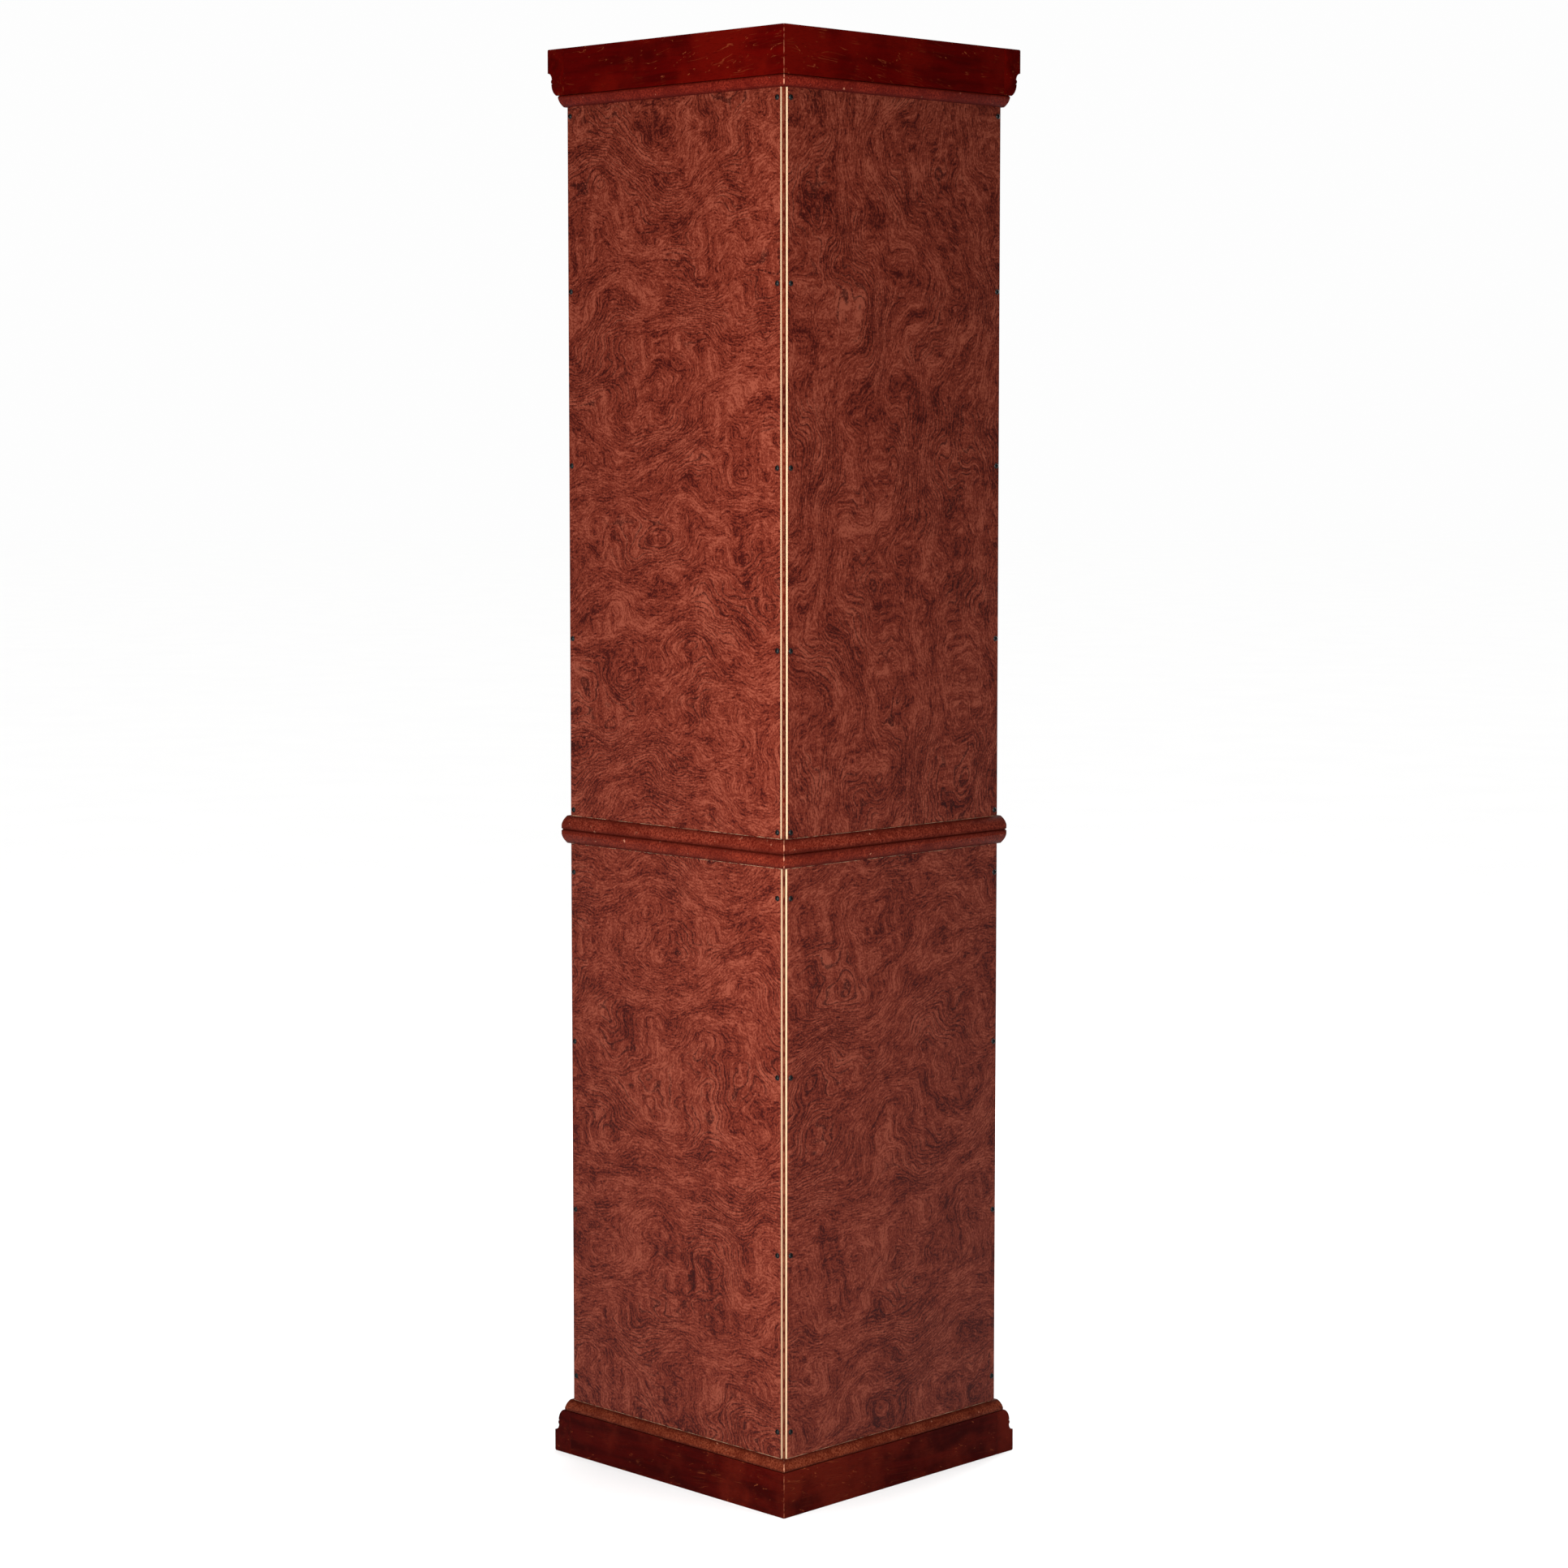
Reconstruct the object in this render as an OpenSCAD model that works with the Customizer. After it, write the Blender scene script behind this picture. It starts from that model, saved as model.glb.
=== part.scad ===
// Corner display cabinet in two stacked sections: a glazed section over a cupboard.
// Row frame: +Z up, the glazed front faces -Y, the right-angled back corner points to +Y.
// The origin is the centre of the footprint, on the floor.

/* [Carcass plan] */
// Length of each back wall, from the back corner to the outer face of the side post
wall_len = 390; // [370:1:410]
// Depth of the side return, from the back wall to the front corner
return_len = 160; // [140:1:175]
// How far every deck runs past the carcass
deck_overhang = 9.5; // [8:0.5:11]

/* [Heights] */
// Height of the plinth under the base deck
plinth_h = 57; // [54:1:65]
// Thickness of the base deck and of the top deck
thin_deck = 15; // [14:0.5:16]
// Thickness of the two decks that meet at the waist
thick_deck = 18; // [17:0.5:20]
// Clear height inside the lower section
lower_h = 737.5; // [725:0.5:750]
// Clear height inside the upper section
upper_h = 909.5; // [906:0.5:920]
// Height of the crown above the top deck
crown_h = 59; // [54:1:65]

/* [Back panels and screws] */
// Thickness of the back panels
panel_t = 3; // [2.5:0.5:4]
// Bare strip of the corner post beside each upper back panel
upper_strip = 3.3; // [2:0.1:4]
// Bare strip of the corner post beside each lower back panel
lower_strip = 2.4; // [2:0.1:4]
// Diameter of a panel screw's head
screw_head_d = 7; // [6:0.5:7.5]
// Length of a panel screw under its head
screw_len = 9.5; // [9:0.1:9.8]
// Spacing of the panel screws up each edge
screw_pitch = 222.4; // [216:0.1:223]
// Height of the lowest upper screw above its deck
upper_screw_start = 8; // [6:0.5:9]
// Height of the lowest lower screw above its deck
lower_screw_start = 33; // [20:1:40]

/* [Mouldings] */
// How far the ogee moulding stands out from the decks
ogee_out = 19; // [17:0.5:21]
// Height of the moulding's cove
cove_h = 7.5; // [6:0.5:8]
// Radius of the moulding's small bead
bead_r = 3.2; // [2.8:0.1:3.5]
// Height of the rounded part of a deck's edge
thumb_rise = 12; // [10:0.5:13]
// How far the rounded part of a deck's edge runs in
thumb_run = 5.5; // [4:0.5:7]
// Chamfer along the other side of a deck's edge, which shows as a groove at each seam
seam_chamfer = 1.4; // [0.8:0.1:1.9]

/* [Doors] */
// Width of a door's stiles and rails
frame_w = 45; // [40:1:50]
// Thickness of a door
door_t = 20; // [19:0.5:21]
// Gap between a door and the decks above and below it
door_gap = 2; // [1.5:0.1:3]
// Diameter of a door knob
knob_d = 26; // [22:1:30]

/* [Shelves] */
// Thickness of a glass shelf
glass_shelf_t = 5; // [4:0.5:6]
// Thickness of the wooden shelf
wood_shelf_t = 15; // [12:1:18]

/* [Hidden] */
$fn = 48;

// Shared small sizes
fit_gap = 0.05;         // radial gap round every pin, dowel and screw
reach = 900;            // longer than any edge, for sections that others trim
LEFT = -1;
RIGHT = 1;
mitre_run = tan(22.5);  // how far a front corner moves along its side for each mm out
board_t = 12;           // thickness of the flat plinth and crown boards

// Heights of the decks, from the floor up
base_z = plinth_h;
lower_z = base_z + thin_deck;
lower_top_z = lower_z + lower_h;
waist_z = lower_top_z + thick_deck;
upper_z = waist_z + thick_deck;
top_deck_z = upper_z + upper_h;
crown_z = top_deck_z + thin_deck;
total_h = crown_z + crown_h;

// The corner frame has the back corner at its origin and the back walls along +X and +Y.
// The footprint's middle fixes where that corner stands in the row frame.
ogee_reach = deck_overhang + ogee_out;
front_dist = (wall_len + return_len) / sqrt(2);
corner_y = (front_dist + ogee_reach - deck_overhang * sqrt(2)) / 2;
front_y = corner_y - front_dist;
front_corner_x = (wall_len - return_len) / sqrt(2);

// Each edge of the plan: a point on it and the direction that points inward
EDGES = [
    [[0, wall_len / 2], 0],
    [[wall_len / 2, 0], 90],
    [[return_len / 2, wall_len], -90],
    [[wall_len, return_len / 2], 180],
    [[(wall_len + return_len) / 2, (wall_len + return_len) / 2], -135]
];
SIDE_EDGE = EDGES[2];
FRONT_EDGE = EDGES[4];

// Posts
corner_post_w = 30;
corner_post_cut = 8;
side_post_w = 22;
side_post_d = 26;
side_post_cut = 16;
front_post_t = 18;
front_post_side = 28;
front_post_front = 30;
groove_depth = 7;
pane_t = 4;
pane_inset = 3;

// Screws in the back panels
screw_shank_r = 1.5;
screw_head_h = 2.5;
inner_row = 8.5;
outer_row = wall_len - 7;
upper_screw_count = 5;
lower_screw_count = 4;
panel_short = 2;

// Shelves and the pins that carry them
shelf_gap = 3;
shelf_front_gap = 22.5;
shelf_side_line = wall_len - front_post_t - shelf_gap;
pin_r = 2.5;
pin_in = 8;
pin_out = 12;
glass_shelf_count = 3;
glass_shelf_step = upper_h / (glass_shelf_count + 1);
wood_shelf_z = lower_z + lower_h / 2;

// Doors, inset between the front posts
hinge_leaf_t = 1;
hinge_side_gap = 1.2;   // from the hinge axis to the door's edge, and to the post
hinge_proud = 3.2;      // from the hinge axis back to the door's face
knuckle_r = 3;
hinge_pin_r = 1.5;
hinge_h = 50;
knuckle_count = 5;
knuckle_pitch = hinge_h / knuckle_count;
knuckle_gap = 0.2;
leaf_depth = 16;
hinge_from_end = 80;
post_edge_x = front_corner_x - front_post_front;
hinge_x = -post_edge_x + hinge_side_gap;
hinge_y = front_y - hinge_proud;
door_left = hinge_x + hinge_side_gap;
door_w = post_edge_x - door_gap - door_left;
upper_door_z = upper_z + door_gap;
upper_door_h = upper_h - 2 * door_gap;
lower_door_z = lower_z + door_gap;
lower_door_h = lower_h - 2 * door_gap;
ovolo_w = 10;
pane_lap = 7;
pane_back = 9;          // from the door's face to the pane's groove
upper_knob_up = 330;
lower_knob_down = 110;
spigot_r = 3;
spigot_len = 12;

// Magnetic catches and their strikes
catch_size = [46, 15, 13];
strike_size = [38, 1.2, 12];
catch_x = 70;
catch_air = 0.3;

// Dowels between the two sections
dowel_r = 4;
dowel_half = 14;
dowel_spots = [[60, 60], [40, wall_len - 60], [wall_len - 60, 40], [235, 235]];

/* Placement helpers */

module corner_frame() {
    translate([0, corner_y, 0]) rotate([0, 0, -135]) children();
}

module on_side(side) {
    if (side == LEFT) mirror([1, 0, 0]) children();
    else children();
}

// Places a section (x inward, y up) along one edge of the plan
module along_edge(edge, out) {
    translate([edge[0][0], edge[0][1], 0])
        rotate([0, 0, edge[1]])
            translate([-out, 0, 0])
                rotate([90, 0, 0])
                    linear_extrude(2 * reach, center = true) children();
}

/* Sections */

// What the rounding takes off a deck's upper edge. The arc meets the upright part of the edge
// at a slight angle, and the waste runs past the deck on both sides.
module thumbnail_waste(thickness) {
    lean = 8;
    spill = 2;
    span = thumb_run * thumb_run + thumb_rise * thumb_rise;
    radius = span / (2 * (thumb_run * cos(lean) - thumb_rise * sin(lean)));
    centre_z = thickness - thumb_rise - radius * sin(lean);
    difference() {
        translate([-spill, centre_z])
            square([thumb_run + 2 * spill, thickness + spill / 2 - centre_z]);
        translate([radius * cos(lean), centre_z]) circle(radius, $fn = 180);
    }
}

// What the chamfer takes off a deck's lower edge
module chamfer_waste() {
    spill = 1;
    far = seam_chamfer + spill;
    polygon([[-spill, -spill], [far, -spill], [-spill, far]]);
}

// Ogee moulding: flat face at the bottom, then cove, bead and ovolo up to the deck
module ogee_section(height) {
    depth = ogee_out + board_t;
    ovolo_h = 15;
    ovolo_r = 17;
    ovolo_in = 7;
    edge_r = 2;
    bead_in = cove_h + bead_r - 1.3;
    ovolo_z = height - ovolo_h;
    bead_z = ovolo_z - 2 * bead_r;
    cove_top = bead_z;
    difference() {
        square([depth, cove_top]);
        translate([0, cove_top]) circle(cove_h);
        difference() {
            translate([-1, -1]) square(edge_r + 1);
            translate([edge_r, edge_r]) circle(edge_r);
        }
    }
    translate([bead_in, bead_z + bead_r]) circle(bead_r);
    translate([bead_in, bead_z]) square([depth - bead_in, 2 * bead_r]);
    intersection() {
        translate([ovolo_in + ovolo_r, ovolo_z]) circle(ovolo_r, $fn = 120);
        translate([0, ovolo_z]) square([ovolo_in + ovolo_r, ovolo_h]);
    }
    translate([ovolo_in + ovolo_r, ovolo_z]) square([depth - ovolo_in - ovolo_r, ovolo_h]);
}

// Door stile or rail: x is the depth from the front face, y runs in from the outer edge
module door_section() {
    difference() {
        square([door_t, frame_w]);
        translate([-1, frame_w - ovolo_w]) square([ovolo_w - 3, ovolo_w + 1]);
        translate([pane_back - fit_gap, frame_w - pane_lap - 0.5])
            square([pane_t + 2 * fit_gap, pane_lap + 1]);
    }
    translate([ovolo_w - 3, frame_w - ovolo_w]) intersection() {
        circle(ovolo_w - 3);
        translate([3 - ovolo_w, 0]) square(ovolo_w - 3);
    }
}

/* Plinth and crown */

module back_board_plan() {
    inner = board_t - deck_overhang;
    polygon([
        [-deck_overhang, -deck_overhang], [inner, inner],
        [inner, wall_len - inner], [-deck_overhang, wall_len - inner]
    ]);
}

// Outline of a side moulding, square at the back and mitred at the front corner
module side_moulding_plan() {
    inner = board_t - deck_overhang;
    polygon([
        [-deck_overhang, wall_len - inner], [-deck_overhang, wall_len + ogee_reach],
        [return_len + mitre_run * ogee_reach, wall_len + ogee_reach],
        [return_len - mitre_run * inner, wall_len - inner]
    ]);
}

module front_moulding_plan() {
    inner = board_t - deck_overhang;
    outer_run = return_len + mitre_run * ogee_reach;
    inner_run = return_len - mitre_run * inner;
    polygon([
        [outer_run, wall_len + ogee_reach], [wall_len + ogee_reach, outer_run],
        [wall_len - inner, inner_run], [inner_run, wall_len - inner]
    ]);
}

module moulding(edge, height) {
    intersection() {
        along_edge(edge, ogee_reach) ogee_section(height);
        linear_extrude(height) children();
    }
}

// Turns a plinth piece over, so that its flat face is at the crown's top
module as_crown() {
    translate([0, 0, total_h]) mirror([0, 0, 1]) children();
}

module back_board(side, height) {
    on_side(side) corner_frame() linear_extrude(height) back_board_plan();
}

module side_moulding(side, height) {
    on_side(side) corner_frame() moulding(SIDE_EDGE, height) side_moulding_plan();
}

module front_moulding(height) {
    corner_frame() moulding(FRONT_EDGE, height) front_moulding_plan();
}

module plinth_back(side) {
    color("#4a1210") back_board(side, plinth_h);
}

module plinth_side(side) {
    color("#4a1210") side_moulding(side, plinth_h);
}

module plinth_front() {
    color("#4a1210") front_moulding(plinth_h);
}

module crown_back(side) {
    color("#560a06") as_crown() back_board(side, crown_h);
}

module crown_side(side) {
    color("#560a06") as_crown() side_moulding(side, crown_h);
}

module crown_front() {
    color("#560a06") as_crown() front_moulding(crown_h);
}

// Triangular blocks glued into the square corners behind the boards
module glue_blocks() {
    leg = 38;
    height = 36;
    inner = board_t - deck_overhang;
    color("#c8a878") for (z = [plinth_h - height, crown_z]) translate([0, 0, z]) {
        corner_frame() translate([inner, inner, 0])
            linear_extrude(height) polygon([[0, 0], [leg, 0], [0, leg]]);
        for (side = [LEFT, RIGHT]) on_side(side) corner_frame()
            translate([inner, wall_len - inner, 0])
                linear_extrude(height) polygon([[0, 0], [leg, 0], [0, -leg]]);
    }
}

/* Decks */

module deck_plan() {
    far = wall_len + deck_overhang;
    run = return_len + mitre_run * deck_overhang;
    near = -deck_overhang;
    polygon([[near, near], [near, far], [run, far], [far, run], [far, near]]);
}

// Cuts the rounding and the chamfer of one edge after another, up to the last edge counted
module deck_cut(thickness, count) {
    if (count == 0) linear_extrude(thickness) deck_plan();
    else difference() {
        deck_cut(thickness, count - 1);
        along_edge(EDGES[count - 1], deck_overhang) thumbnail_waste(thickness);
        along_edge(EDGES[count - 1], deck_overhang) chamfer_waste();
    }
}

module deck(thickness) {
    corner_frame() deck_cut(thickness, len(EDGES));
}

module deck_rounded_up(z, thickness) {
    translate([0, 0, z]) deck(thickness);
}

module deck_rounded_down(z, thickness) {
    translate([0, 0, z + thickness]) mirror([0, 0, 1]) deck(thickness);
}

module dowel_holes() {
    hole_half = dowel_half + 0.5;
    corner_frame() for (spot = dowel_spots)
        translate([spot[0], spot[1], waist_z - hole_half])
            cylinder(r = dowel_r + fit_gap, h = 2 * hole_half);
}

module base_deck() {
    color("#6b2c20") deck_rounded_up(base_z, thin_deck);
}

module lower_top_deck() {
    color("#6b2c20") difference() {
        deck_rounded_down(lower_top_z, thick_deck);
        dowel_holes();
    }
}

module upper_base_deck() {
    color("#6b2c20") difference() {
        deck_rounded_up(waist_z, thick_deck);
        dowel_holes();
    }
}

module upper_top_deck() {
    color("#6b2c20") deck_rounded_down(top_deck_z, thin_deck);
}

module alignment_dowels() {
    color("#c9a574") corner_frame() for (spot = dowel_spots)
        translate([spot[0], spot[1], waist_z - dowel_half]) cylinder(r = dowel_r, h = 2 * dowel_half);
}

/* Screw and pin positions */

function upper_rows() =
    [for (i = [0:upper_screw_count - 1]) upper_z + upper_screw_start + i * screw_pitch];
function lower_rows() =
    [for (i = [0:lower_screw_count - 1]) lower_z + lower_screw_start + i * screw_pitch];
function shelf_levels() =
    concat([wood_shelf_z], [for (i = [1:glass_shelf_count]) upper_z + i * glass_shelf_step]);

// Puts a screw axis, pointing into the carcass, at each screw of one row pair
module at_screws(rows) {
    for (z = rows, y = [inner_row, outer_row])
        translate([-panel_t, y, z]) rotate([0, 90, 0]) children();
}

module screw_holes(rows) {
    for (side = [LEFT, RIGHT]) on_side(side) corner_frame() at_screws(rows)
        translate([0, 0, -1]) cylinder(r = screw_shank_r + fit_gap, h = screw_len + 1.5);
}

// Puts a pin axis, pointing out of its post, at each pin under one shelf
module at_shelf_pins(z) {
    pin_z = z - pin_r;
    corner_chamfer = (corner_post_w + corner_post_cut) / 2;
    side_chamfer_x = side_post_w - side_post_cut / 2;
    side_chamfer_y = wall_len - side_post_d + side_post_cut / 2;
    corner_frame() translate([corner_chamfer, corner_chamfer, pin_z])
        rotate([0, 0, 45]) rotate([0, 90, 0]) children();
    for (side = [LEFT, RIGHT]) on_side(side) {
        corner_frame() translate([side_chamfer_x, side_chamfer_y, pin_z])
            rotate([0, 0, -45]) rotate([0, 90, 0]) children();
        translate([post_edge_x + front_post_front / 2 - 2, front_y + front_post_t, pin_z])
            rotate([-90, 0, 0]) children();
    }
}

module pin_holes(levels) {
    for (z = levels) at_shelf_pins(z)
        translate([0, 0, -pin_in - 0.5]) cylinder(r = pin_r + fit_gap, h = pin_in + 1.5);
}

/* Posts */

module corner_post(z, height) {
    w = corner_post_w;
    cut = corner_post_cut;
    translate([0, 0, z]) corner_frame() linear_extrude(height)
        polygon([[0, 0], [w, 0], [w, cut], [cut, w], [0, w]]);
}

module side_post(side, z, height) {
    w = side_post_w;
    d = side_post_d;
    cut = side_post_cut;
    groove_y = wall_len - pane_inset - pane_t - fit_gap;
    translate([0, 0, z]) on_side(side) corner_frame() linear_extrude(height) difference() {
        translate([0, wall_len - d]) polygon([[0, 0], [w - cut, 0], [w, cut], [w, d], [0, d]]);
        translate([w - groove_depth, groove_y]) square([groove_depth + 1, pane_t + 2 * fit_gap]);
    }
}

module front_post(side, z, height) {
    front_dir = [1, -1] / sqrt(2);
    inward = [-1, -1] / sqrt(2);
    corner = [return_len, wall_len];
    front_end = corner + front_post_front * front_dir;
    front_end_in = front_end + front_post_t * inward;
    bend = [return_len - mitre_run * front_post_t, wall_len - front_post_t];
    side_end_in = [return_len - front_post_side, wall_len - front_post_t];
    side_end = [return_len - front_post_side, wall_len];
    groove_y = wall_len - pane_inset - pane_t - fit_gap;
    translate([0, 0, z]) on_side(side) corner_frame() linear_extrude(height) difference() {
        polygon([corner, front_end, front_end_in, bend, side_end_in, side_end]);
        translate([side_end[0] - 1, groove_y]) square([groove_depth + 1, pane_t + 2 * fit_gap]);
    }
}

module lower_post_holes() {
    screw_holes(lower_rows());
    pin_holes([shelf_levels()[0]]);
}

module upper_post_holes() {
    screw_holes(upper_rows());
    pin_holes([for (i = [1:glass_shelf_count]) shelf_levels()[i]]);
}

module lower_corner_post() {
    color("#5a1c14") difference() {
        corner_post(lower_z, lower_h);
        lower_post_holes();
    }
}

module upper_corner_post() {
    color("#5a1c14") difference() {
        corner_post(upper_z, upper_h);
        upper_post_holes();
    }
}

module lower_side_post(side) {
    color("#5a1c14") difference() {
        side_post(side, lower_z, lower_h);
        lower_post_holes();
    }
}

module upper_side_post(side) {
    color("#5a1c14") difference() {
        side_post(side, upper_z, upper_h);
        upper_post_holes();
    }
}

module lower_front_post(side) {
    color("#5a1c14") difference() {
        front_post(side, lower_z, lower_h);
        lower_post_holes();
    }
}

module upper_front_post(side) {
    color("#5a1c14") difference() {
        front_post(side, upper_z, upper_h);
        upper_post_holes();
    }
}

/* Panels, glass and shelves */

module back_panel(side, z, height, strip) {
    width = wall_len - panel_short - strip;
    translate([0, 0, z]) on_side(side) corner_frame()
        translate([-panel_t, strip, 0]) cube([panel_t, width, height]);
}

module lower_back_panel(side) {
    color("#8a3a2c") difference() {
        back_panel(side, lower_z, lower_h, lower_strip);
        screw_holes(lower_rows());
    }
}

module upper_back_panel(side) {
    color("#8a3a2c") difference() {
        back_panel(side, upper_z, upper_h, upper_strip);
        screw_holes(upper_rows());
    }
}

// The pane or panel in a side return, held in the grooves of its two posts
module side_pane(side, z, height) {
    slack = 0.5;
    first = side_post_w - groove_depth + slack;
    last = return_len - front_post_side + groove_depth - slack;
    translate([0, 0, z]) on_side(side) corner_frame()
        translate([first, wall_len - pane_inset - pane_t, 0])
            cube([last - first, pane_t, height - 2 * slack]);
}

module lower_side_panel(side) {
    color("#8a3a2c") side_pane(side, lower_z, lower_h);
}

module upper_side_glass(side) {
    color("#cfe3de", 0.35) side_pane(side, upper_z, upper_h);
}

// Shelf outline: the plan drawn in, with its three back corners cut clear of the posts
module shelf_plan() {
    slant = shelf_gap * sqrt(2);
    back_cut = corner_post_w + corner_post_cut + slant - shelf_gap;
    side_cut = wall_len - side_post_d - side_post_w + side_post_cut - slant;
    front_sum = wall_len + return_len - shelf_front_gap * sqrt(2);
    front_run = front_sum - shelf_side_line;
    polygon([
        [back_cut, shelf_gap], [shelf_gap, back_cut],
        [shelf_gap, side_cut + shelf_gap], [shelf_side_line - side_cut, shelf_side_line],
        [front_run, shelf_side_line], [shelf_side_line, front_run],
        [shelf_side_line, shelf_side_line - side_cut], [side_cut + shelf_gap, shelf_gap]
    ]);
}

module shelf(z, thickness) {
    translate([0, 0, z]) corner_frame() linear_extrude(thickness) shelf_plan();
}

module glass_shelf(number) {
    color("#cfe3de", 0.35) shelf(shelf_levels()[number], glass_shelf_t);
}

module lower_shelf() {
    color("#7a3325") shelf(wood_shelf_z, wood_shelf_t);
}

/* Screws and shelf pins */

// Pan-head screw with a cross recess; its axis starts under the head and points to the tip
module panel_screw() {
    head_r = screw_head_d / 2;
    dome_r = (head_r * head_r + screw_head_h * screw_head_h) / (2 * screw_head_h);
    recess_w = 1.1;
    recess_l = 3.8;
    difference() {
        rotate_extrude() {
            square([screw_shank_r, screw_len]);
            intersection() {
                translate([0, dome_r - screw_head_h]) circle(dome_r);
                translate([0, -screw_head_h]) square([head_r, screw_head_h]);
            }
        }
        for (turn = [45, 135]) rotate([0, 0, turn])
            translate([-recess_l / 2, -recess_w / 2, -screw_head_h - 1]) cube([recess_l, recess_w, 2.4]);
    }
}

module back_panel_screws() {
    color("#141414") for (side = [LEFT, RIGHT]) on_side(side) corner_frame()
        at_screws(concat(lower_rows(), upper_rows())) panel_screw();
}

module shelf_pins() {
    color("#c9a03c") for (z = shelf_levels()) at_shelf_pins(z)
        translate([0, 0, -pin_in]) cylinder(r = pin_r, h = pin_in + pin_out);
}

/* Doors */

// One frame member with mitred ends: its outer edge runs along +X, the front face is at y = 0
module frame_member(length) {
    intersection() {
        rotate([90, 0, 90]) linear_extrude(length) door_section();
        translate([0, door_t + 1, 0]) rotate([90, 0, 0]) linear_extrude(door_t + 2)
            polygon([[0, 0], [length, 0], [length - frame_w, frame_w], [frame_w, frame_w]]);
    }
}

module at_door(z) {
    translate([door_left, front_y, z]) children();
}

module hinge_stile(height) {
    mirror([1, 0, -1]) frame_member(height);
}

module lock_stile(height) {
    translate([door_w, 0, 0]) mirror([1, 0, 0]) hinge_stile(height);
}

module bottom_rail() {
    frame_member(door_w);
}

module top_rail(height) {
    translate([0, 0, height]) mirror([0, 0, 1]) frame_member(door_w);
}

// The thin edge of a door's pane or panel, which sits in the frame's groove
module door_pane(height) {
    inset = frame_w - pane_lap;
    translate([inset, pane_back, inset]) cube([door_w - 2 * inset, pane_t, height - 2 * inset]);
}

// Knob turned about +Z, with a spigot below its base that fits the stile
module knob_shape() {
    base_r = 8;
    neck_r = 5;
    knob_r = knob_d / 2;
    height = 24;
    crown_r = 17;
    rotate_extrude() {
        square([base_r, 2.5]);
        square([neck_r, height - 6]);
        translate([0, -spigot_len]) square([spigot_r, spigot_len + 1]);
        translate([knob_r - 4, height - 9]) circle(4);
        translate([0, height - 13]) square([knob_r - 4, 8]);
        intersection() {
            translate([0, height - crown_r]) circle(crown_r);
            translate([0, height - 7]) square([knob_r - 3, 8]);
        }
    }
}

module at_knob(height_up) {
    translate([door_w - frame_w / 2, 0, height_up]) rotate([90, 0, 0]) children();
}

module knob_hole(height_up) {
    at_knob(height_up) translate([0, 0, -spigot_len - 0.5])
        cylinder(r = spigot_r + fit_gap, h = spigot_len + 1);
}

module upper_door_hinge_stile() {
    color("#5e1a12") at_door(upper_door_z) hinge_stile(upper_door_h);
}

module upper_door_lock_stile() {
    color("#5e1a12") at_door(upper_door_z) difference() {
        lock_stile(upper_door_h);
        knob_hole(upper_knob_up);
    }
}

module upper_door_top_rail() {
    color("#5e1a12") at_door(upper_door_z) top_rail(upper_door_h);
}

module upper_door_bottom_rail() {
    color("#5e1a12") at_door(upper_door_z) bottom_rail();
}

module upper_door_glass() {
    color("#cfe3de", 0.35) at_door(upper_door_z) door_pane(upper_door_h);
}

module upper_door_knob() {
    color("#b08d3e") at_door(upper_door_z) at_knob(upper_knob_up) knob_shape();
}

module lower_door_hinge_stile() {
    color("#5e1a12") at_door(lower_door_z) hinge_stile(lower_door_h);
}

module lower_door_lock_stile() {
    color("#5e1a12") at_door(lower_door_z) difference() {
        lock_stile(lower_door_h);
        knob_hole(lower_door_h - lower_knob_down);
    }
}

module lower_door_top_rail() {
    color("#5e1a12") at_door(lower_door_z) top_rail(lower_door_h);
}

module lower_door_bottom_rail() {
    color("#5e1a12") at_door(lower_door_z) bottom_rail();
}

// Raised panel: a thin edge in the grooves and a bevelled field towards the front
module lower_door_panel() {
    field_gap = 1.5;
    bevel = 32;
    field_front = 2;
    x0 = frame_w + field_gap;
    x1 = door_w - x0;
    z0 = frame_w + field_gap;
    z1 = lower_door_h - z0;
    back = pane_back + pane_t / 2;
    color("#8a3a2c") at_door(lower_door_z) {
        door_pane(lower_door_h);
        intersection() {
            linear_extrude(lower_door_h)
                polygon([[x0, pane_back], [x0 + bevel, field_front], [x1 - bevel, field_front],
                    [x1, pane_back], [x1, back], [x0, back]]);
            rotate([90, 0, 90]) linear_extrude(door_w)
                polygon([[pane_back, z0], [field_front, z0 + bevel], [field_front, z1 - bevel],
                    [pane_back, z1], [back, z1], [back, z0]]);
        }
    }
}

module lower_door_knob() {
    color("#b08d3e") at_door(lower_door_z) at_knob(lower_door_h - lower_knob_down) knob_shape();
}

/* Hinges: the axis is +Z at x = 0, y = 0, the post is on -X and the door on +X */

function hinge_levels(z, height) = [z + hinge_from_end, z + height - hinge_from_end - hinge_h];

// first is 0 for the leaf with the outer knuckles, 1 for the other; dir is its side
module hinge_leaf(first, dir) {
    plate_x = dir > 0 ? hinge_side_gap - hinge_leaf_t : -hinge_side_gap;
    difference() {
        union() {
            translate([plate_x, hinge_proud, 0]) cube([hinge_leaf_t, leaf_depth, hinge_h]);
            for (i = [first:2:knuckle_count - 1]) {
                low = i == 0 ? 0 : i * knuckle_pitch + knuckle_gap / 2;
                high = i == knuckle_count - 1 ? hinge_h : (i + 1) * knuckle_pitch - knuckle_gap / 2;
                translate([0, 0, low]) cylinder(r = knuckle_r, h = high - low);
                translate([plate_x, 0, low]) cube([hinge_leaf_t, hinge_proud + 1, high - low]);
            }
        }
        translate([0, 0, -1]) cylinder(r = hinge_pin_r + fit_gap, h = hinge_h + 2);
    }
}

module at_hinges(z, height) {
    for (level = hinge_levels(z, height)) translate([hinge_x, hinge_y, level]) children();
}

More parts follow.
